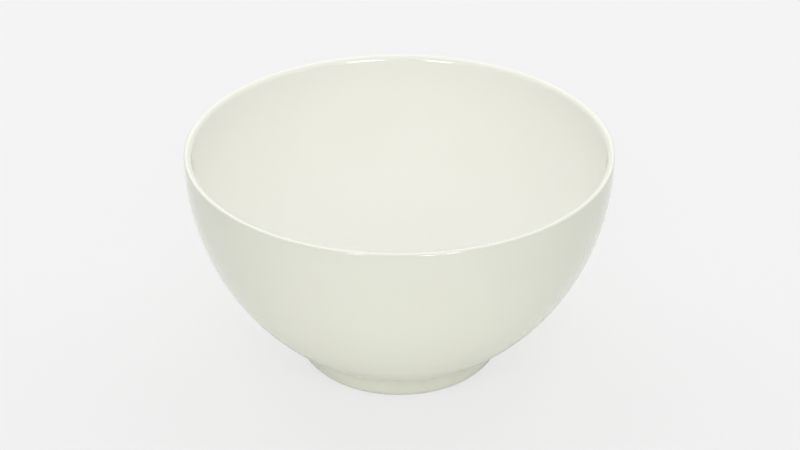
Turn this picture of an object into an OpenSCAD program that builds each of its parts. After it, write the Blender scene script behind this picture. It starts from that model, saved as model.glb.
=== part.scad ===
// Latte bowl: a footed cream porcelain bowl, drawn as the pieces it is made up from.
// The origin is on the table under the middle of the bowl, with Z up. Lengths are in millimetres.
// Each piece is a half section, turned once round the bowl's axis.

/* [Bowl] */
// Diameter over the rim
rim_d = 140; // [124:1:160]
// Height from the table to the top of the lip
bowl_h = 76; // [68:0.5:84]
// Thickness of the wall at the round lip, glaze included
lip_t = 2.4; // [1.6:0.1:4]
// Thickness of the wall's curve where it passes the foot, glaze included
heel_t = 4.6; // [3.6:0.1:6]
// Thickness of the floor in the middle, glaze included
floor_t = 5; // [4:0.1:7]
// Radius of the shallow dish of the floor
floor_r = 250; // [150:5:400]
// Radius of the turn from the floor up into the wall
turn_r = 30; // [20:1:40]

/* [Foot] */
// Diameter of the crease where the foot meets the wall
foot_top_d = 73.5; // [71:0.5:78]
// Height of that crease above the table
foot_h = 9.2; // [8:0.1:11]
// How far the foot's sloping side runs in from the crease to the table
foot_taper = 5.45; // [4:0.05:7]
// Rounding of the foot's outer edge
foot_edge_r = 2; // [0.6:0.1:2.6]
// Width of the foot at the table, from its side in to the recess
ring_w = 6.3; // [5:0.1:9]
// Depth of the recess, from the table to its glaze
recess_h = 4.5; // [3.5:0.1:5.5]
// Rounding of the foot's inner edge
recess_edge_r = 1; // [0.4:0.1:1.4]

/* [Glaze] */
// Thickness of the glaze
glaze_t = 0.3; // [0.15:0.05:0.5]
// Radius of the glaze that fills the crease above the foot
crease_r = 1.5; // [0.6:0.1:3]
// Radius of the glaze that fills the corner of the recess
recess_corner_r = 1.6; // [0.6:0.1:2.4]
// Height above the table to which the foot is wiped bare
bare_h = 1.4; // [1.2:0.1:2]

/* [Hidden] */
$fn = 180;

// How far a cutting shape runs past what it cuts
overrun = 1;
// Step to which the two long radii are rounded, so that wall and lip meet without a step
radius_step = 0.001;
// Share of the heel by which the foot's side is carried on into the wall
bury_share = 0.5;

glaze_colour = "ivory";
porcelain_colour = "linen";

// Direction of a vector
function unit(v) = v / norm(v);

// Radius of an arc that is upright at the point top and passes through the point low
function upright_arc_r(top, low) =
    round((norm(top - low) ^ 2) / (2 * (top.x - low.x)) / radius_step) * radius_step;

// Point where two circles cross, to the right of the way from one centre to the other
function circles_cross(a, a_r, b, b_r) =
    let (apart = norm(b - a), way = unit(b - a))
    let (along = (a_r ^ 2 - b_r ^ 2 + apart ^ 2) / (2 * apart))
    a + along * way + sqrt(a_r ^ 2 - along ^ 2) * [way.y, -way.x];

// Point where a line from p in the direction way first meets a circle
function line_meets_circle(p, way, centre, r) =
    let (across = (p - centre) * way)
    p - (across + sqrt(across ^ 2 - norm(p - centre) ^ 2 + r ^ 2)) * way;

// Outer wall: one arc, upright where it springs into the lip, down to the crease
rim_r = rim_d / 2;
lip_r = lip_t / 2;
spring_h = bowl_h - lip_r;
rim_point = [rim_r, spring_h];
crease_point = [foot_top_d / 2, foot_h];
wall_r = upright_arc_r(rim_point, crease_point);
wall_centre = rim_point - [wall_r, 0];

// Inside: a wall arc, a turn and a shallow floor arc, each running smoothly into the next
inner_rim_point = rim_point - [lip_t, 0];
inner_heel_point = crease_point - heel_t * unit(crease_point - wall_centre);
inner_r = upright_arc_r(inner_rim_point, inner_heel_point);
inner_centre = inner_rim_point - [inner_r, 0];
floor_centre = [0, recess_h + floor_t + floor_r];
turn_centre = circles_cross(inner_centre, inner_r - turn_r, floor_centre, floor_r - turn_r);

// Foot: a straight side from the crease in to the table
seat_h = recess_h + glaze_t;
base_point = [crease_point.x - foot_taper, 0];
recess_r = base_point.x - ring_w;
side_way = unit(crease_point - base_point);
side_out = [side_way.y, -side_way.x];
side_top_h = foot_h + heel_t * bury_share;

// Point on the foot's side at a height, with the side set in by a thickness
function side_point(height, inset) =
    [base_point.x + (height * side_way.x - inset) / side_way.y, height];

// Glaze in the crease: an arc that touches the wall and the foot's side
crease_centre = line_meets_circle(base_point + crease_r * side_out, side_way, wall_centre, wall_r + crease_r);

// Corner left between an arc about a centre and its two end tangents, at the points p and q
module corner_piece(centre, p, q) {
    difference() {
        polygon([centre, p, p + q - centre, q]);
        translate(centre) circle(r = norm(p - centre));
    }
}

// Outside of the wall as a solid half section, from the foot's seat up to the lip
module wall_form(inset) {
    intersection() {
        translate(wall_centre) circle(r = wall_r - inset);
        translate([0, seat_h]) square([rim_r + overrun, spring_h - seat_h]);
    }
}

// Half section of the hollow, with its three arcs grown by a thickness
module hollow(grow) {
    reach = turn_r + grow;
    difference() {
        intersection() {
            translate(inner_centre) circle(r = inner_r + grow);
            translate(floor_centre) circle(r = floor_r + grow);
            square([rim_r + overrun, spring_h + overrun]);
        }
        corner_piece(
            turn_centre,
            turn_centre + reach * unit(turn_centre - inner_centre),
            turn_centre + reach * unit(turn_centre - floor_centre)
        );
    }
}

// Upper half of the round lip
module lip(inset) {
    intersection() {
        translate(rim_point - [lip_r, 0]) circle(r = lip_r - inset);
        translate([0, spring_h]) square([rim_r + overrun, lip_t]);
    }
}

// The foot as a solid half section, from a height above the table up into the wall
module foot_block(inset, bottom_h) {
    polygon([
        [0, bottom_h],
        side_point(bottom_h, inset),
        side_point(side_top_h, inset),
        [0, side_top_h]
    ]);
}

// Glaze that fills the crease between the wall and the foot
module crease_fill() {
    corner_piece(
        crease_centre,
        wall_centre + wall_r * unit(crease_centre - wall_centre),
        crease_centre - crease_r * side_out
    );
}

// Fired porcelain shell: wall, lip and floor, with a flat turned base for the foot
module bowl_body() {
    color(porcelain_colour)
        rotate_extrude() {
            difference() {
                wall_form(glaze_t);
                hollow(glaze_t);
            }
            lip(glaze_t);
        }
}

// Foot ring: seated on the flat base and on the wall's curve, rounded at both standing edges
module foot_ring() {
    ring_r = recess_r + glaze_t;
    toe = side_point(0, glaze_t);
    toe_run = foot_edge_r * (1 - side_way.x) / side_way.y;
    color(porcelain_colour)
        rotate_extrude()
            difference() {
                foot_block(glaze_t, 0);
                wall_form(glaze_t);
                translate([0, -overrun]) square([ring_r, overrun + side_top_h]);
                corner_piece(
                    toe + [-toe_run, foot_edge_r],
                    toe - [toe_run, 0],
                    toe + toe_run * side_way
                );
                corner_piece(
                    [ring_r + recess_edge_r, recess_edge_r],
                    [ring_r, recess_edge_r],
                    [ring_r + recess_edge_r, 0]
                );
            }
}

// Glaze coat: one skin over the inside, the lip, the outside and the foot's side
module glaze_coat() {
    color(glaze_colour)
        rotate_extrude()
            difference() {
                union() {
                    difference() {
                        union() {
                            wall_form(0);
                            foot_block(0, bare_h);
                            crease_fill();
                        }
                        hollow(0);
                    }
                    lip(0);
                }
                difference() {
                    union() {
                        wall_form(glaze_t);
                        foot_block(glaze_t, 0);
                    }
                    hollow(glaze_t);
                }
                lip(glaze_t);
            }
}

// Glaze in the recess: a shallow cap under the base, wiped back from the standing edge
module base_glaze() {
    corner = [recess_r, recess_h];
    color(glaze_colour)
        rotate_extrude() {
            difference() {
                translate([0, bare_h]) square([recess_r + glaze_t, seat_h - bare_h]);
                square(corner);
            }
            corner_piece(
                corner - [recess_corner_r, recess_corner_r],
                corner - [0, recess_corner_r],
                corner - [recess_corner_r, 0]
            );
        }
}

bowl_body();
foot_ring();
glaze_coat();
base_glaze();
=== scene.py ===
# %% [markdown]
# # A latte bowl in cream porcelain
#
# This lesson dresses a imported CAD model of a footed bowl. The CAD model is the frame: it fixes
# the size and the place of every piece, and nothing here moves or resizes it. A real bowl of this
# kind is fired clay under a glassy skin, so most of what the eye meets is glaze. We rebuild the
# glaze and the foot as fine surfaces of revolution, give clay and glaze a finish each, and light
# them as a small studio would.

# %% Load the frame
import math

import bpy
import numpy as np
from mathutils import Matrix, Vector


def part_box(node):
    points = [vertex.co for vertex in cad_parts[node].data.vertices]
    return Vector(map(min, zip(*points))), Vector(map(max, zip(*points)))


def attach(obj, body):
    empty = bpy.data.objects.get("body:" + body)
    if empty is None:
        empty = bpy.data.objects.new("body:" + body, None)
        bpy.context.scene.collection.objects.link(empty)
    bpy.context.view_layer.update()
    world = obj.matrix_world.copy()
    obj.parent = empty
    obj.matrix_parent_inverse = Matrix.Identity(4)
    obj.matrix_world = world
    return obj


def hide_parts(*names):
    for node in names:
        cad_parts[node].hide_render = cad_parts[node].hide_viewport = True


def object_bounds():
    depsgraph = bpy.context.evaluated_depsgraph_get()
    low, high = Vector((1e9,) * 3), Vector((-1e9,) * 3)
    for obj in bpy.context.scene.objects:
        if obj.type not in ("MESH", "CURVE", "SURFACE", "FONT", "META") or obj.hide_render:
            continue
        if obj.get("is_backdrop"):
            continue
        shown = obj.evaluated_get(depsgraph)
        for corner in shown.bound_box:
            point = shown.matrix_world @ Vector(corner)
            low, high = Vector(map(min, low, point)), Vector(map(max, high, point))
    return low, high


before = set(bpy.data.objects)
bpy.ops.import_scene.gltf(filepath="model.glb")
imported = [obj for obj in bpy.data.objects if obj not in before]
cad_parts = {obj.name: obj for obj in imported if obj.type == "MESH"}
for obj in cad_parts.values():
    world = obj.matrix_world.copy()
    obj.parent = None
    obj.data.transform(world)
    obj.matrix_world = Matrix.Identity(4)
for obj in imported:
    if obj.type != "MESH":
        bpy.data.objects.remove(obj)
cad_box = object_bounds()
print("CAD nodes:", sorted(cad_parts))

# %% [markdown]
# ## The sizes
#
# The outer sizes are read from the frame, so they can't drift from the CAD model. What a box
# can't tell, such as the thickness of the lip or the radius of a turn, is a named value here.
# Blender works in metres, and `MM` keeps the numbers readable.

# %% Sizes that the pieces share
MM = 0.001

glaze_low, glaze_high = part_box("glaze_coat")
_, recess_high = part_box("base_glaze")
RIM_R = glaze_high.x
BOWL_H = glaze_high.z
BARE_H = glaze_low.z
RECESS_CLAY_R = recess_high.x
SEAT_H = recess_high.z

LIP_T = 2.4 * MM
LIP_EDGE_R = 0.7 * MM
HEEL_T = 4.6 * MM
FLOOR_T = 5 * MM
FLOOR_R = 250 * MM
TURN_R = 30 * MM
FOOT_TOP_R = 36.75 * MM
FOOT_H = 9.2 * MM
FOOT_TAPER = 5.45 * MM
FOOT_EDGE_R = 2 * MM
RECESS_EDGE_R = 1 * MM
GLAZE_T = 0.3 * MM
CREASE_R = 1.5 * MM
RECESS_CORNER_R = 1.6 * MM
print(f"rim {2 * RIM_R / MM:.1f} mm across, {BOWL_H / MM:.1f} mm high")

# %% [markdown]
# ## The half section
#
# A potter's jigger cuts a bowl with one profile, and so do we: every curve below lives in the
# flat (r, z) plane, r out from the axis and z up. A profile could be a list of traced points,
# but this one is only arcs and lines that run into each other without a corner, so a handful of
# centres and radii say all of it. The outer wall is upright at the lip. Inside, the wall's arc
# goes through a tighter turn into a floor that is a very shallow dish. The clay's lip is a half
# round. The glaze over it has a crisp outer edge and a crown that rolls softly inwards, and the
# crown's radius is the one that lets it run into the inner wall without a corner.

# %% Centres and radii of the profile
def unit(vector):
    """The direction of a vector: the vector over its length."""
    return vector / np.linalg.norm(vector)


def upright_arc(top, low):
    """Centre and radius of the arc that is upright at top and passes through low.
    The radius is the squared distance between the two over twice the step inwards."""
    step = top - low
    radius = step @ step / (2 * step[0])
    return top - np.array([radius, 0]), radius


def circles_cross(a, a_r, b, b_r):
    """The point where two circles cross, to the right of the way from a to b."""
    apart, way = np.linalg.norm(b - a), unit(b - a)
    along = (a_r**2 - b_r**2 + apart**2) / (2 * apart)
    return a + along * way + math.sqrt(a_r**2 - along**2) * np.array([way[1], -way[0]])


def line_meets_circle(start, way, centre, radius):
    """The first point of the line start + t way that lies on the circle."""
    across = (start - centre) @ way
    reach = across**2 - (start - centre) @ (start - centre) + radius**2
    return start - (across + math.sqrt(reach)) * way


LIP_R = LIP_T / 2
SPRING_H = BOWL_H - LIP_R
RECESS_R = RECESS_CLAY_R - GLAZE_T
RECESS_H = SEAT_H - GLAZE_T

rim = np.array([RIM_R, SPRING_H])
lip_centre = rim - [LIP_R, 0]
crease = np.array([FOOT_TOP_R, FOOT_H])
wall_centre, wall_r = upright_arc(rim, crease)
inner_rim = rim - [LIP_T, 0]
inner_heel = crease - HEEL_T * unit(crease - wall_centre)
inner_centre, inner_r = upright_arc(inner_rim, inner_heel)
floor_centre = np.array([0, RECESS_H + FLOOR_T + FLOOR_R])
turn_centre = circles_cross(inner_centre, inner_r - TURN_R, floor_centre, FLOOR_R - TURN_R)

# The glaze over the lip: the crown is level where the edge starts and touches the inner wall's circle
crown_r = RIM_R - LIP_EDGE_R
crown_reach = crown_r - inner_rim[0]
crown_arc = ((crown_reach + inner_r) ** 2 + LIP_R**2 - inner_r**2) / (2 * (inner_r + LIP_R))
crown_centre = np.array([crown_r, BOWL_H - crown_arc])
edge_centre = np.array([crown_r, BOWL_H - LIP_EDGE_R])

base_point = crease - [FOOT_TAPER, FOOT_H]
side_way = unit(crease - base_point)
side_out = np.array([side_way[1], -side_way[0]])
crease_centre = line_meets_circle(
    base_point + CREASE_R * side_out, side_way, wall_centre, wall_r + CREASE_R
)
print(f"wall arc {wall_r / MM:.1f} mm, inner arc {inner_r / MM:.1f} mm")

# %% [markdown]
# A path is an array of (r, z) points. Each helper makes one stretch of it, in steps no longer
# than it is told, and `chain` hooks the stretches together. The inside, the lip and the wall are
# asked for twice, once for the glaze and once for the clay a glaze's thickness below it, so each
# takes an inset: circles about the same centres give an exactly even skin.

# %% Stretches of a path
def arc(centre, radius, start, end, step):
    """Points on a circle about centre from the angle start to the angle end, evenly spaced."""
    count = max(3, math.ceil(abs(end - start) * radius / step) + 1)
    angle = np.linspace(start, end, count)
    return centre + radius * np.stack([np.cos(angle), np.sin(angle)], axis=1)


def line(start, end, step):
    """Points on the straight way from start to end, evenly spaced."""
    start, end = np.asarray(start, float), np.asarray(end, float)
    count = max(2, math.ceil(np.linalg.norm(end - start) / step) + 1)
    return np.linspace(start, end, count)


def chain(*stretches):
    """Stretches end to end, without the points that they share."""
    return np.concatenate([stretches[0], *[stretch[1:] for stretch in stretches[1:]]])


def direction(start, end):
    """The angle of the way from start to end, in radians."""
    return math.atan2(end[1] - start[1], end[0] - start[0])


def inside(inset, step, top=0):
    """The floor from the axis outwards, the turn, and the inner wall up to the angle top."""
    floor_end = direction(floor_centre, turn_centre)
    turn_end = direction(inner_centre, turn_centre)
    return chain(
        arc(floor_centre, FLOOR_R + inset, -math.pi / 2, floor_end, step),
        arc(turn_centre, TURN_R + inset, floor_end, turn_end, step),
        arc(inner_centre, inner_r + inset, turn_end, top, step),
    )


def lip(inset, step):
    """The half circle of the lip, from the inside over the top to the outside."""
    return arc(lip_centre, LIP_R - inset, math.pi, 0, step)


def wall(inset, end, step):
    """The outer wall, from the lip down to the point end."""
    return arc(wall_centre, wall_r - inset, 0, direction(wall_centre, end), step)


def side(height, inset):
    """Point on the foot's sloping side at a height, with the side set in by a thickness."""
    return np.array([base_point[0] + (height * side_way[0] - inset) / side_way[1], height])


# %% [markdown]
# ## From a profile to a mesh
#
# Blender's Spin tool or a Screw modifier would turn a profile too. Working the points out as
# arrays is as short, and it lets a surface change on its way round: the glaze line on the foot
# wanders a little, as a wiped edge does. Rows follow the profile and columns go round the axis.
# A profile that starts and ends on the axis gets one point for each pole, and a ring's profile
# closes on itself, so every piece is a closed solid with its faces outwards.

# %% Turn rows of points into a closed mesh
AROUND = 320
turn = np.linspace(0, 2 * np.pi, AROUND, endpoint=False)


def carry_round(path):
    """The same profile at every angle: r and z as arrays of rows by columns."""
    return np.repeat(path[:, :1], AROUND, axis=1), np.repeat(path[:, 1:], AROUND, axis=1)


def quads(rows, closed):
    """Faces between each row and the next, and back to the first row where closed is true."""
    row = np.arange(rows if closed else rows - 1)[:, None]
    column = np.arange(AROUND)[None, :]
    below, beside = (row + 1) % rows, (column + 1) % AROUND
    this, following = row * AROUND, below * AROUND
    corners = [this + column, following + column, following + beside, this + beside]
    return np.stack(corners, axis=-1).reshape(-1, 4)


def turned_piece(name, r, z, poles=None, zone=None):
    """A closed piece: the point in row i and column j lies at r cos a, r sin a, z, where a is the
    column's angle. poles are the heights of the two points on the axis, or None for a ring.
    zone is the glaze's zone number at each point, or None on bare clay."""
    rows = len(r)
    points = np.stack([r * np.cos(turn), r * np.sin(turn), z], axis=-1).reshape(-1, 3)
    faces = quads(rows, closed=poles is None).tolist()
    if poles is not None:
        first, last = len(points), len(points) + 1
        points = np.concatenate([points, [[0, 0, poles[0]], [0, 0, poles[1]]]])
        here, beside = np.arange(AROUND), (np.arange(AROUND) + 1) % AROUND
        end = (rows - 1) * AROUND
        faces += np.stack([np.full(AROUND, first), here, beside], axis=1).tolist()
        faces += np.stack([end + here, np.full(AROUND, last), end + beside], axis=1).tolist()
    mesh = bpy.data.meshes.new(name)
    mesh.from_pydata(points, [], faces)
    mesh.shade_smooth()
    if zone is not None:
        values = np.concatenate([zone.ravel(), [zone[0, 0], zone[-1, 0]]])
        mesh.attributes.new("glaze_zone", "FLOAT", "POINT").data.foreach_set("value", values)
    piece = bpy.data.objects.new(name, mesh)
    bpy.context.scene.collection.objects.link(piece)
    size = (points.max(0) - points.min(0)) / MM
    print(f"{name}: {len(points)} points, {size[0]:.2f} x {size[1]:.2f} x {size[2]:.2f} mm")
    return piece


# %% [markdown]
# ## The foot ring
#
# The foot is a tapered ring, joined to the turned base of the bowl and wiped clean of glaze where
# it stands, or the kiln shelf would keep it. Its section goes round clockwise: along the seat under
# the bowl, up the curve of the wall, down the sloping side, round the toe and across the standing
# face. A bare standing face keeps faint rings from the turning tool. They are cut upwards only,
# so the bowl still stands at height zero.

# %% The section of the foot ring
CLAY_STEP = 1.2 * MM
FINE_STEP = 0.12 * MM

clay_r = wall_r - GLAZE_T
seat_drop = SEAT_H - wall_centre[1]
seat_edge = wall_centre + [math.sqrt(clay_r**2 - seat_drop**2), seat_drop]
clay_corner = line_meets_circle(side(0, GLAZE_T), side_way, wall_centre, clay_r)
seat_angle = direction(wall_centre, seat_edge)
corner_angle = direction(wall_centre, clay_corner)

toe = side(0, GLAZE_T)
toe_run = FOOT_EDGE_R * (1 - side_way[0]) / side_way[1]
toe_centre = toe + [-toe_run, FOOT_EDGE_R]
toe_top = toe + toe_run * side_way
recess_edge_centre = np.array([RECESS_CLAY_R + RECESS_EDGE_R, RECESS_EDGE_R])

standing_face = line([toe_centre[0], 0], [recess_edge_centre[0], 0], FINE_STEP)
ring_path = chain(
    line([RECESS_CLAY_R, SEAT_H], seat_edge, CLAY_STEP),
    arc(wall_centre, clay_r, seat_angle, corner_angle, CLAY_STEP),
    line(clay_corner, toe_top, CLAY_STEP),
    arc(toe_centre, FOOT_EDGE_R, direction(toe_centre, toe_top), -math.pi / 2, FINE_STEP),
    standing_face,
    arc(recess_edge_centre, RECESS_EDGE_R, -math.pi / 2, -math.pi, FINE_STEP),
    line([RECESS_CLAY_R, RECESS_EDGE_R], [RECESS_CLAY_R, SEAT_H], CLAY_STEP),
)[:-1]
face_out, face_in = standing_face[0, 0], standing_face[-1, 0]
print(f"standing face from {face_in / MM:.2f} to {face_out / MM:.2f} mm radius")

# %% Make the foot ring
TOOL_RING = 0.85 * MM
TOOL_DEPTH = 0.02 * MM
TOOL_WANDER = 0.085 * MM

foot_r, foot_z = carry_round(ring_path)
across = np.clip((foot_r - face_in) / (face_out - face_in), 0, 1)
wander = foot_r + TOOL_WANDER * np.sin(3 * turn)
cut = TOOL_DEPTH * np.sin(np.pi * across) * (1 - np.cos(2 * np.pi * wander / TOOL_RING)) / 2
on_face = foot_z < TOOL_DEPTH / 10
foot_z = foot_z + on_face * cut
foot_ring = turned_piece("foot_ring_turned", foot_r, foot_z)

# %% [markdown]
# ## The glaze coat
#
# Glaze is a skin of glass, about a third of a millimetre thick. It could be faked by painting the
# clay, but then there would be no soft fill in the crease above the foot and no rounded edge where
# the glaze stops, and those are what the eye takes for glaze. So the skin is a solid of its own:
# its upper side goes from the middle of the floor over the lip and down to the foot, and its
# under side follows the clay all the way back. Over the lip it is a little uneven, because the
# skin gives a thin rim the shape that the eye knows it by: crisp outside and soft inside.
#
# Three small effects make it a real one. Its edge wanders up and down on the foot, the last half
# millimetre rounds off behind a slightly fuller bead, and the surface has slow ripples of about a
# hundredth of a millimetre, which no eye sees as shape but which bend a reflection.

# %% How the glaze ends and how it ripples
EDGE_WAVE = 0.16 * MM
EDGE_ROUND = 0.55 * MM
BEAD = 0.06 * MM
RIPPLE = 0.012 * MM
RIPPLE_LONG = 11 * MM
RIPPLE_MIDDLE = 7 * MM
RIPPLE_SHORT = 1.6 * MM


def edge_wave(phase):
    """How far a wiped glaze edge wanders, from -1 to 1: four sines of whole turns, added up."""
    waves = 0.4 * np.sin(2 * turn + phase) + 0.3 * np.sin(5 * turn + 2.1 * phase)
    return waves + 0.2 * np.sin(9 * turn + 0.7 * phase) + 0.1 * np.sin(17 * turn + 3 * phase)


def edge_thickness(distance):
    """Glaze thickness at a distance from its edge: a quarter ellipse, then a low bead."""
    share = np.clip(distance / EDGE_ROUND, 0, 1)
    bead = BEAD * np.exp(-(((distance - 2 * EDGE_ROUND) / EDGE_ROUND) ** 2))
    return GLAZE_T * np.sqrt(1 - (1 - share) ** 2) + bead * share


def ripples(length, angle):
    """Slow waves in the glaze: sines of whole turns whose phase shifts along the profile."""
    return (
        np.sin(2 * angle + length / RIPPLE_LONG)
        + np.sin(3 * angle - length / RIPPLE_MIDDLE + 1.3)
        + 0.5 * np.sin(length / RIPPLE_SHORT + 0.4 * np.sin(2 * angle))
    )


edge_z = BARE_H + EDGE_WAVE * edge_wave(1.0)
print(f"the wiped edge lies {edge_z.min() / MM:.2f} to {edge_z.max() / MM:.2f} mm above the table")

# %% The section of the glaze coat
GLAZE_STEP = 1.1 * MM
UNDER_STEP = 3 * MM
LIP_STEP = 0.22 * MM

crease_top = wall_centre + wall_r * unit(crease_centre - wall_centre)
crease_foot = crease_centre - CREASE_R * side_out
fill_start = direction(crease_centre, crease_top)
fill_end = direction(crease_centre, crease_foot)
inside_path = chain(
    inside(0, GLAZE_STEP, direction(inner_centre, crown_centre)),
    arc(crown_centre, crown_arc, direction(crown_centre, inner_centre), math.pi / 2, LIP_STEP),
)
shown_path = chain(
    inside_path,
    arc(edge_centre, LIP_EDGE_R, math.pi / 2, 0, FINE_STEP),
    line(edge_centre + [LIP_EDGE_R, 0], rim, LIP_STEP),
    wall(0, crease_top, GLAZE_STEP),
    arc(crease_centre, CREASE_R, fill_start, fill_end, FINE_STEP),
)
under_path = chain(
    wall(GLAZE_T, clay_corner, UNDER_STEP)[::-1],
    lip(GLAZE_T, LIP_STEP)[::-1],
    inside(GLAZE_T, UNDER_STEP)[::-1],
)
print(f"glaze section: {len(shown_path)} points that show, {len(under_path)} against the clay")

# %% Ripple the skin that shows, along its own normal, but not in the bowl's middle and the crease
CALM_MIDDLE = 20 * MM
CALM_CREASE = 8 * MM

shown_r, shown_z = carry_round(shown_path[1:])
slope = np.gradient(shown_path, axis=0)[1:]
slope = slope / np.linalg.norm(slope, axis=1, keepdims=True)
length = np.cumsum(np.linalg.norm(np.diff(shown_path, axis=0), axis=1))[:, None]
to_crease = np.linalg.norm(shown_path[1:] - crease, axis=1)[:, None]
calm = np.clip(length / CALM_MIDDLE, 0, 1) * np.clip(to_crease / CALM_CREASE, 0, 1)
height = RIPPLE * calm * ripples(length, turn)
shown_r = shown_r - height * slope[:, 1:]
shown_z = shown_z + height * slope[:, :1]
print(f"ripples of up to {abs(height).max() / MM:.3f} mm")

# %% End the skin on the foot and take it back under
EDGE_ROWS = 26
UNDER_ROWS = 5

# Down the foot's side to the wandering edge
down = np.sin(np.linspace(0, np.pi / 2, EDGE_ROWS))[1:, None]
side_z = crease_foot[1] + down * (edge_z - crease_foot[1])
to_edge = (side_z - edge_z) / side_way[1]
set_in = GLAZE_T - edge_thickness(to_edge)
side_r = side(0, 0)[0] + side_z * side_way[0] / side_way[1] - set_in * side_out[0]
side_z = side_z - set_in * side_out[1]

# From that edge back up along the clay to its corner
up = np.linspace(0, 1, UNDER_ROWS)[1:-1, None]
under_side_r = side_r[-1] + up * (clay_corner[0] - side_r[-1])
under_side_z = side_z[-1] + up * (clay_corner[1] - side_z[-1])
under_r, under_z = carry_round(under_path[:-1])

coat_r = np.concatenate([shown_r, side_r, under_side_r, under_r])
coat_z = np.concatenate([shown_z, side_z, under_side_z, under_z])
print(f"glaze coat: {len(coat_r)} rows of {AROUND} points")

# %% [markdown]
# Glaze runs thin over an edge and gathers in a hollow, and its colour follows. A bowl could have that
# painted on by hand. Here each point carries a number that says which zone it lies in, and the finish
# reads it later: 0 on the bowl's floor, where poured glaze settles milky and pale, and the paler tone
# is also painted light on the up-facing floor, 1 on the inner wall, 2 on the top of the lip, where the
# glaze is thinnest, and the duller tone is also painted shade, 3 on the outside, and 4 in the crease,
# where it pools, and the deep tone is also the crease's painted shade. Along the profile the number
# only ever rises, so no zone shows up inside another.

# %% Give the glaze coat its zones
BOTTOM, INSIDE, LIP, OUTSIDE, CREASE = 0, 1, 2, 3, 4
SETTLED_AND_LIT_H = 30 * MM
THIN_AND_SHADE_REACH = 1.1 * MM
POOL_AND_SHADE_REACH = 3.4 * MM


def nearness(r, z, centre, reach):
    """1 at a point of the profile, and less with the squared distance from it: a bell curve."""
    return np.exp(-(((r - centre[0]) ** 2 + (z - centre[1]) ** 2) / reach**2))


row = np.arange(len(coat_r))[:, None]
# The tone goes paler towards the bowl's floor: settled glaze, and painted light on the up-facing floor.
settled_and_lit = np.clip((coat_z - shown_path[0, 1]) / SETTLED_AND_LIT_H, 0, 1)
coat_zone = np.where(row < len(inside_path), BOTTOM + (INSIDE - BOTTOM) * settled_and_lit, OUTSIDE)
# Over the top of the lip the tone turns duller: thin glaze, and painted shade that tones down the light
# on the lip.
coat_zone = coat_zone + (LIP - coat_zone) * nearness(coat_r, coat_z, lip_centre + [0, LIP_R], THIN_AND_SHADE_REACH)
# Near the crease the tone deepens: pooled glaze, and the crease's painted shade.
coat_zone = coat_zone + nearness(coat_r, coat_z, crease, POOL_AND_SHADE_REACH)
glaze_coat = turned_piece(
    "glaze_coat_skin", coat_r, coat_z, poles=(shown_path[0, 1], under_path[-1, 1]), zone=coat_zone
)

# %% [markdown]
# ## The glaze under the base
#
# The hollow inside the foot is glazed too, apart from the wiped ring, and the glaze gathers in its
# corner. It is the same skin again, upside down: a flat roof against the clay, a round fillet in
# the corner, and a wandering rounded edge at the bottom of its wall.

# %% Make the glaze under the base
RECESS_WAVE = 0.14 * MM
TURNING = 5.5 * MM
TURNING_DEPTH = 0.025 * MM
TURNING_FADE = 4 * MM
BACK_ROWS = 4

fillet_centre = np.array([RECESS_R - RECESS_CORNER_R, RECESS_H - RECESS_CORNER_R])
roof = line([0, SEAT_H], [RECESS_CLAY_R, SEAT_H], UNDER_STEP)
fillet = chain(
    arc(fillet_centre, RECESS_CORNER_R, 0, math.pi / 2, LIP_STEP),
    line([fillet_centre[0], RECESS_H], [0, RECESS_H], GLAZE_STEP / 2),
)

recess_edge_z = BARE_H + RECESS_WAVE * edge_wave(4.0)
drop = np.linspace(0, 1, BACK_ROWS)[1:, None]
back_z = SEAT_H + drop * (recess_edge_z - SEAT_H)
back_r = np.full_like(back_z, RECESS_CLAY_R)
rise = 1 - np.cos(np.linspace(0, np.pi / 2, EDGE_ROWS))[1:-1, None]
face_z = recess_edge_z + rise * (fillet_centre[1] - recess_edge_z)
face_r = RECESS_CLAY_R - edge_thickness(face_z - recess_edge_z)

roof_r, roof_z = carry_round(roof[1:])
fillet_r, fillet_z = carry_round(fillet[:-1])
to_corner = fillet_centre[0] - fillet_r
flat = np.clip(to_corner / TURNING_FADE, 0, 1) * np.clip(fillet_r / TURNING_FADE, 0, 1)
fillet_z = fillet_z + TURNING_DEPTH * flat * np.sin(2 * np.pi * fillet_r / TURNING + 0.5 * np.sin(turn))

pool_r = np.concatenate([roof_r, back_r, face_r, fillet_r])
pool_z = np.concatenate([roof_z, back_z, face_z, fillet_z])
# Near the hollow's corner the tone deepens: pooled glaze, and painted shade in the corner.
base_pool_and_shade_zone = OUTSIDE + nearness(pool_r, pool_z, (RECESS_R, RECESS_H), POOL_AND_SHADE_REACH)
base_glaze = turned_piece("base_glaze_skin", pool_r, pool_z, poles=(SEAT_H, RECESS_H), zone=base_pool_and_shade_zone)

# %% [markdown]
# ## Shader maths as Python
#
# A finish is a node tree, and a tree is hard to read as a list of nodes and links. This small
# class wraps one socket, so that `0.2 + 0.1 * cloud` adds the two Math nodes by itself. One
# method, `make`, adds any other node: first its settings, then the values or links of its sockets.

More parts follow.
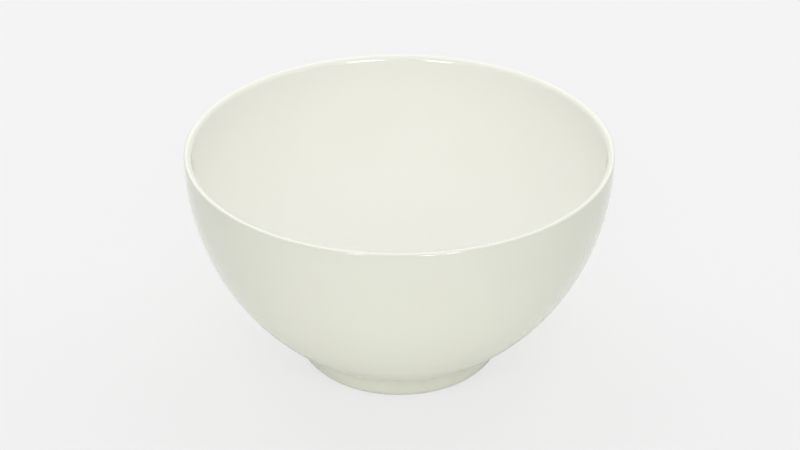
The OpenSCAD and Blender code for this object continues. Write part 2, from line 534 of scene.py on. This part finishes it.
# %% A socket that does sums
class Socket:
    """An output of a node tree. Sums and products of sockets and numbers add Math nodes."""

    def __init__(self, tree, output=None):
        self.tree = tree
        self.output = output

    def make(self, kind, settings=None, inputs=None, output=0):
        """Adds a node of a kind, with its settings and its sockets, and returns one output."""
        node = self.tree.nodes.new(kind)
        for name, value in (settings or {}).items():
            if name == "stops":
                ramp = node.color_ramp.elements
                while len(ramp) < len(value):
                    ramp.new(1)
                for element, (place, colour) in zip(ramp, value):
                    element.position, element.color = place, colour
            else:
                setattr(node, name, value)
        for name, value in (inputs or {}).items():
            if isinstance(value, Socket):
                self.tree.links.new(value.output, node.inputs[name])
            else:
                node.inputs[name].default_value = value
        return Socket(self.tree, node.outputs[output] if node.outputs else None)

    def maths(self, operation, first, second):
        """A Math node with two values, each a socket or a number."""
        return self.make("ShaderNodeMath", {"operation": operation}, {0: first, 1: second})

    def __add__(self, other):
        return self.maths("ADD", self, other)

    def __sub__(self, other):
        return self.maths("SUBTRACT", self, other)

    def __rsub__(self, other):
        return self.maths("SUBTRACT", other, self)

    def __mul__(self, other):
        return self.maths("MULTIPLY", self, other)

    def __pow__(self, other):
        return self.maths("POWER", self, other)

    def __rpow__(self, other):
        return self.maths("POWER", other, self)

    def __or__(self, other):
        """The larger of two values."""
        return self.maths("MAXIMUM", self, other)

    __radd__ = __add__
    __rmul__ = __mul__
    __ror__ = __or__

    def noise(self, where, scale, detail=2.0):
        """Cloudy noise from 0 to 1, about 1 / scale metres from cloud to cloud."""
        inputs = {"Vector": where, "Scale": scale, "Detail": detail}
        return self.make("ShaderNodeTexNoise", None, inputs, "Fac")

    def ease(self, low, high):
        """0 below low, 1 above high, with a smooth rise between them."""
        settings = {"interpolation_type": "SMOOTHSTEP"}
        inputs = {"Value": self, "From Min": low, "From Max": high}
        return self.make("ShaderNodeMapRange", settings, inputs, "Result")

    def tint(self, low, high):
        """Colour that goes from low, where this value is 0, to high, where it is 1."""
        return self.make("ShaderNodeMix", {"data_type": "RGBA"}, {0: self, 6: low, 7: high}, 2)

    def bump(self, depth):
        """The normal of a surface that this value, from 0 to 1, lifts by up to depth metres."""
        inputs = {"Strength": 1, "Distance": depth, "Height": self}
        return self.make("ShaderNodeBump", None, inputs, "Normal")


def new_finish(name):
    """An empty material, as a socket to build on."""
    material = bpy.data.materials.new(name)
    material.use_nodes = True
    material.node_tree.nodes.clear()
    return material, Socket(material.node_tree)


# %% [markdown]
# ## The cream glaze
#
# Cream glaze is a milky glass over a pale body, and what shows is a soft cream with a sharp, faint
# mirror on top. One dielectric shader does both. Its colour has a tone for each zone: pale on the
# bowl's floor, partly settled glaze and partly painted light, duller over the lip, partly where the
# clay shows through and partly painted shade, and deepest in the crease, partly pooled glaze and
# partly the crease's painted shade. Faint clouds shift the tone here and there, and a few specks of
# iron lie under the glass, as in any clay. The gloss varies a little, and a very low orange peel
# keeps highlights from looking like plastic.

# %% Make the cream glaze
# The floor's pale tone is partly painted light; the lip's duller tone and the crease's deep tone are
# partly painted shade.
GLAZE_BOTTOM_SETTLED_AND_LIT = (0.912, 0.912, 0.872, 1)
GLAZE_INSIDE = (0.898, 0.896, 0.838, 1)
GLAZE_LIP_THIN_AND_SHADE = (0.835, 0.845, 0.755, 1)
GLAZE_OUTSIDE = (0.91, 0.925, 0.81, 1)
GLAZE_POOL_AND_SHADE = (0.84, 0.84, 0.73, 1)
IRON_SPECK = (0.42, 0.36, 0.27, 1)
GLAZE_IOR = 1.45
CLOUDS_PER_M = 26
CLOUD_SHIFT = 0.6
SPECKS_PER_M = 90
SPECK_CORE, SPECK_EDGE = 0.012, 0.028
SPECK_STRENGTH = 0.3
GLOSS_PER_M = 60
GLOSS_LEAST, GLOSS_SPREAD = 0.05, 0.04
PEEL_PER_M = 420
PEEL_DEPTH = 0.006 * MM


def cream_glaze():
    """The zone, shifted by clouds, picks the tone, painted light and shade included. Specks darken it,
    and a low peel bends the mirror.
    """
    material, net = new_finish("cream_glaze")
    place = net.make("ShaderNodeTexCoord", output="Object")
    zone = net.make("ShaderNodeAttribute", {"attribute_name": "glaze_zone"}, output="Fac")
    clouds = net.noise(place, CLOUDS_PER_M)
    tone = (zone + CLOUD_SHIFT * (clouds - 0.5)) * (1 / CREASE)
    colours = [GLAZE_BOTTOM_SETTLED_AND_LIT, GLAZE_INSIDE, GLAZE_LIP_THIN_AND_SHADE, GLAZE_OUTSIDE, GLAZE_POOL_AND_SHADE]
    stops = [(number / CREASE, colour) for number, colour in enumerate(colours)]
    colour = net.make("ShaderNodeValToRGB", {"stops": stops}, {"Fac": tone}, "Color")

    cells = net.make("ShaderNodeTexVoronoi", None, {"Vector": place, "Scale": SPECKS_PER_M}, "Distance")
    speck = SPECK_STRENGTH * (1 - cells.ease(SPECK_CORE, SPECK_EDGE))
    inputs = {
        "Base Color": speck.tint(colour, IRON_SPECK),
        "Roughness": GLOSS_LEAST + GLOSS_SPREAD * net.noise(place, GLOSS_PER_M),
        "IOR": GLAZE_IOR,
        "Normal": net.noise(place, PEEL_PER_M, 1.0).bump(PEEL_DEPTH),
    }
    shader = net.make("ShaderNodeBsdfPrincipled", None, inputs)
    net.make("ShaderNodeOutputMaterial", None, {"Surface": shader})
    return material


glaze_finish = cream_glaze()
print(f"{glaze_finish.name}: {len(glaze_finish.node_tree.nodes)} nodes")

# %% [markdown]
# ## The bare porcelain
#
# Where the foot is wiped, the fired clay shows: matt, a little warmer and greyer than the glaze,
# with a fine tooth that picks up some grey from the table. Two scales of noise make the tooth, and
# the lowest fifth of a millimetre carries the grey.

# %% Make the bare porcelain
CLAY_PALE = (0.93, 0.915, 0.86, 1)
CLAY_DARK = (0.86, 0.835, 0.76, 1)
TABLE_GREY = (0.46, 0.44, 0.41, 1)
TOOTH_PER_M = 2600
TOOTH_DEPTH = 0.02 * MM
SMUDGES_PER_M = 170
GREY_H = 0.2 * MM
GREY_STRENGTH = 0.6
MATT_LEAST, MATT_SPREAD = 0.58, 0.14


def bare_porcelain():
    """Fine tooth and coarse smudges mix two clay tones, and the smudges nearest the table are grey."""
    material, net = new_finish("bare_porcelain")
    place = net.make("ShaderNodeTexCoord", output="Object")
    height = net.make("ShaderNodeSeparateXYZ", None, {"Vector": place}, "Z")
    tooth = net.noise(place, TOOTH_PER_M)
    smudge = net.noise(place, SMUDGES_PER_M, 4.0)
    clay = (0.5 * tooth + 0.5 * smudge).ease(0.35, 0.7)
    grey = GREY_STRENGTH * (1 - height.ease(0, GREY_H)) * smudge.ease(0.45, 0.62)
    inputs = {
        "Base Color": grey.tint(clay.tint(CLAY_PALE, CLAY_DARK), TABLE_GREY),
        "Roughness": MATT_LEAST + MATT_SPREAD * tooth,
        "Normal": tooth.bump(TOOTH_DEPTH),
    }
    shader = net.make("ShaderNodeBsdfPrincipled", None, inputs)
    net.make("ShaderNodeOutputMaterial", None, {"Surface": shader})
    return material


clay_finish = bare_porcelain()
print(f"{clay_finish.name}: {len(clay_finish.node_tree.nodes)} nodes")

# %% [markdown]
# ## Fit the pieces to the frame
#
# Each new piece rides on the CAD model's only body and stands for the node that it refines. The
# fired shell lies wholly under the glaze and its shape is right, so the CAD node stays and only
# gets the clay's finish.

# %% Ride, replace and finish
dressing = [
    (glaze_coat, "glaze_coat", "glaze", glaze_finish),
    (base_glaze, "base_glaze", "glaze", glaze_finish),
    (foot_ring, "foot_ring", "porcelain", clay_finish),
]
for piece, node, slot, finish in dressing:
    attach(piece, "root")
    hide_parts(node)
    piece.data.materials.append(finish)
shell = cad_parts["bowl_body"]
shell.data.materials.clear()
shell.data.materials.append(clay_finish)
print("dressed:", [piece.name for piece, *_ in dressing])

# %% [markdown]
# ## Floor and background
#
# The bowl stands on a plain pale floor that runs out into a background of the same grey. Turning
# the lamps up until the floor is that pale would bleach the bowl. Instead the camera sees a floor
# that is partly bright by itself, and still darkens where the bowl shades it. Mirror rays see the
# same pale floor with its full shadow, so the glaze above the foot reflects the shade that is
# really there. The light that bounces up is that of a strip of white paper on a darker table: it
# lifts the front and the foot, and leaves the two sides of the bowl a little darker. The floor lies
# a hair below the foot, because two faces at one height would flicker through each other.

# %% Lay the floor
PALE = 0.888
PALE_SHARE = 0.75
SWEEP_WHITE = (0.88, 0.88, 0.87, 1)
TABLE_ASIDE = (0.20, 0.20, 0.19, 1)
SWEEP_HALF = 0.11
FLOOR_SEEN = (0.855, 0.855, 0.855, 1)
FLOOR_HALF = 3.0
FLOOR_DROP = 0.05 * MM


def camera_ray(net):
    """1 for a ray from the camera, and 0 for other light."""
    return net.make("ShaderNodeLightPath", output="Is Camera Ray")


def seen_ray(net):
    """1 for a ray from the camera, or one that a mirror or glass sends on, and 0 for other light."""
    mirrored = net.make("ShaderNodeLightPath", output="Is Glossy Ray")
    through = net.make("ShaderNodeLightPath", output="Is Transmission Ray")
    return camera_ray(net) | mirrored | through


def pale_floor():
    """The camera and mirrors see a pale floor with its shadow, and for the camera a share of it glows.
    Other light meets the strip of paper on the darker table."""
    material, net = new_finish("pale_floor")
    place = net.make("ShaderNodeTexCoord", output="Object")
    across = net.make("ShaderNodeSeparateXYZ", None, {"Vector": place}, "X")
    aside = (across * across).ease(SWEEP_HALF**2, (2 * SWEEP_HALF) ** 2)
    table = net.make("ShaderNodeBsdfDiffuse", None, {"Color": aside.tint(SWEEP_WHITE, TABLE_ASIDE)})
    shaded = net.make("ShaderNodeBsdfDiffuse", None, {"Color": FLOOR_SEEN})
    glow = net.make("ShaderNodeEmission", None, {"Color": (PALE, PALE, PALE, 1), "Strength": 1})
    seen = net.make("ShaderNodeMixShader", None, {0: PALE_SHARE * camera_ray(net), 1: shaded, 2: glow})
    surface = net.make("ShaderNodeMixShader", None, {0: seen_ray(net), 1: table, 2: seen})
    net.make("ShaderNodeOutputMaterial", None, {"Surface": surface})
    return material


corner = FLOOR_HALF * np.array([[-1, -1], [1, -1], [1, 1], [-1, 1]])
floor_mesh = bpy.data.meshes.new("floor")
floor_mesh.from_pydata(np.c_[corner, np.full(4, -FLOOR_DROP)], [], [(0, 1, 2, 3)])
floor_mesh.materials.append(pale_floor())
floor = bpy.data.objects.new("floor", floor_mesh)
bpy.context.scene.collection.objects.link(floor)
floor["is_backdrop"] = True
print(f"floor: {2 * FLOOR_HALF:.0f} m square, {FLOOR_DROP / MM:.2f} mm below the foot")

# %% [markdown]
# ## Light
#
# Tableware is shot in a white tent: shading is slow and shadows are soft. The world gives that
# light, as a smooth function of direction: a large key in front, a low pair beside it, and panels
# at the sides and the back. A softbox overhead draws the fine line on the lip. Two strips stand low
# in front, left and right of the camera, and draw the two short streaks on the inner roll of the
# far lip. They are so low that the near rim hides them from the inner wall, and they light nothing
# but reflections.

# %% Hang the tent
PANELS = [
    ("key", 0, 34, 2.74),
    ("low left", -25, 12, 0.08),
    ("low right", 25, 12, 0.08),
    ("left", -90, 35, 0.7),
    ("right", 90, 35, 0.7),
    ("left back", -135, 45, 1.15),
    ("right back", 135, 45, 1.15),
]
PANEL_SPREAD = 8


def around_bowl(azimuth, elevation):
    """The direction that is azimuth degrees to the right of the front and elevation degrees up."""
    a, e = math.radians(azimuth), math.radians(elevation)
    return Vector((math.sin(a) * math.cos(e), -math.cos(a) * math.cos(e), math.sin(e)))


def tent():
    """Each panel adds its radiance, times the cosine of the angle to its middle to the power of the
    spread. The camera and mirrors see the plain pale background instead."""
    world = bpy.data.worlds.new("tent")
    world.use_nodes = True
    world.node_tree.nodes.clear()
    net = Socket(world.node_tree)
    way = net.make("ShaderNodeTexCoord", output="Generated")
    light = 0
    for _, azimuth, elevation, radiance in PANELS:
        inputs = {0: way, 1: around_bowl(azimuth, elevation)}
        facing = net.make("ShaderNodeVectorMath", {"operation": "DOT_PRODUCT"}, inputs, "Value")
        light = light + radiance * (facing | 0) ** PANEL_SPREAD
    lit = net.make("ShaderNodeBackground", None, {"Color": (1, 1, 1, 1), "Strength": light})
    pale = net.make("ShaderNodeBackground", None, {"Color": (PALE, PALE, PALE, 1), "Strength": 1})
    surface = net.make("ShaderNodeMixShader", None, {0: seen_ray(net), 1: lit, 2: pale})
    net.make("ShaderNodeOutputWorld", None, {"Surface": surface})
    return world


bpy.context.scene.world = tent()
print("panels:", [name for name, *_ in PANELS])


# %% Set up the lamps
def aim(thing, place, target):
    """Puts a lamp or camera at place and turns it to face target."""
    thing.location = place
    thing.rotation_mode = "QUATERNION"
    thing.rotation_quaternion = (Vector(target) - Vector(place)).to_track_quat("-Z", "Y")


def softbox(name, azimuth, elevation, distance, size, radiance, only_gloss=False):
    """A flat lamp that faces the bowl's mouth. A lamp's power is its radiance times pi times its area.
    only_gloss leaves out its diffuse light, for a strip that is there for its reflection."""
    lamp = bpy.data.lights.new(name, "AREA")
    lamp.shape = "RECTANGLE"
    lamp.size, lamp.size_y = size
    lamp.energy = radiance * math.pi * size[0] * size[1]
    box = bpy.data.objects.new(name, lamp)
    box.visible_diffuse = not only_gloss
    bpy.context.scene.collection.objects.link(box)
    mouth = (0, 0, BOWL_H)
    aim(box, Vector(mouth) + distance * around_bowl(azimuth, elevation), mouth)
    return box


lamps = [
    softbox("roof_softbox", 180, 60, 1.0, (1.7, 1.3), 0.8),
    softbox("front_strip_right", 19, 4.2, 1.2, (0.40, 0.15), 45, only_gloss=True),
    softbox("front_strip_left", -22, 4.2, 1.2, (0.30, 0.15), 45, only_gloss=True),
]
print("lamps in W:", {lamp.name: round(lamp.data.energy, 2) for lamp in lamps})

# %% [markdown]
# ## Camera
#
# The camera stands where the photograph was taken from: 0.9 metres away, looking down at 29
# degrees through a long lens. Its distance and angle come from fitting the rim's two ellipses, the
# outline and the foot's crease at once.

# %% Place the camera
CAMERA_DISTANCE = 0.9
CAMERA_ELEVATION = 29.35
CAMERA_LENS = 122.62
SENSOR_WIDTH = 36
CAMERA_TARGET = (0.2 * MM, 0, 47.02 * MM)

camera = bpy.data.objects.new("camera", bpy.data.cameras.new("camera"))
camera.data.lens = CAMERA_LENS
camera.data.sensor_width = SENSOR_WIDTH
bpy.context.scene.collection.objects.link(camera)
aim(camera, Vector(CAMERA_TARGET) + CAMERA_DISTANCE * around_bowl(0, CAMERA_ELEVATION), CAMERA_TARGET)
bpy.context.scene.camera = camera
bpy.context.scene.view_settings.view_transform = "Standard"
print(f"camera at {[round(x, 3) for x in camera.location]} m, lens {CAMERA_LENS} mm")

# %% [markdown]
# ## Print the boxes
#
# The dressed bowl has to stay in the CAD model's box, so both boxes are printed side by side.

# %% Print the sizes
visual_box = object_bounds()
boxes = {"cad": [list(corner) for corner in cad_box], "visual": [list(corner) for corner in visual_box]}
for name, box in boxes.items():
    print(f"{name} box in mm:", [[round(x / MM, 2) for x in point] for point in box])
